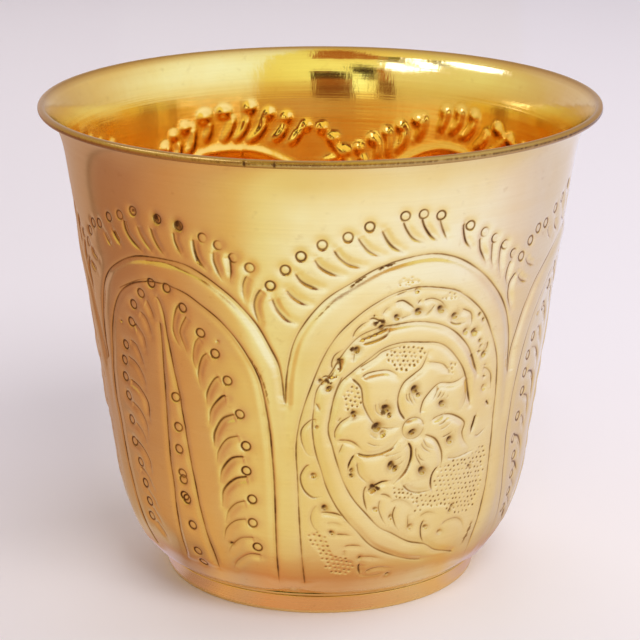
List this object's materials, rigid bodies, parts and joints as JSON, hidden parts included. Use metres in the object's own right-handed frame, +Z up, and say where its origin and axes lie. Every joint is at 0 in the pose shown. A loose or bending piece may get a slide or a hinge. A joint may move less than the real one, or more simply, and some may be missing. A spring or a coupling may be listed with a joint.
{
  "type": "planter pot",
  "caption": "Tapered round pot with a flared, wire-rolled rim, a rounded shoulder and a short foot ring, spun from brass sheet and open at the top.",
  "frame": {"origin": "centre of the foot ring's standing face, on the ground", "axes": "+Z up along the pot's turning axis; the pot's solids are round about Z, so X and Y only set where the ornament of the visual model starts, with -Y facing the viewer"},
  "size_m": [0.2032, 0.2032, 0.1767],
  "materials": {
    "wall_brass": "spun and chased, satin outside, more polished inside, dark patina in the chased lines",
    "core_wire_steel": "bare wire, hidden in the rolled rim",
    "floor_brass": "satin",
    "foot_brass": "satin",
    "braze_filler": "dull filler metal"
  },
  "bodies": {
    "root": {"body_wall": "wall_brass", "rim_wire": "core_wire_steel", "floor_disc": "floor_brass", "foot_ring": "foot_brass", "foot_braze": "braze_filler", "floor_braze": "braze_filler"}
  },
  "joints": []
}
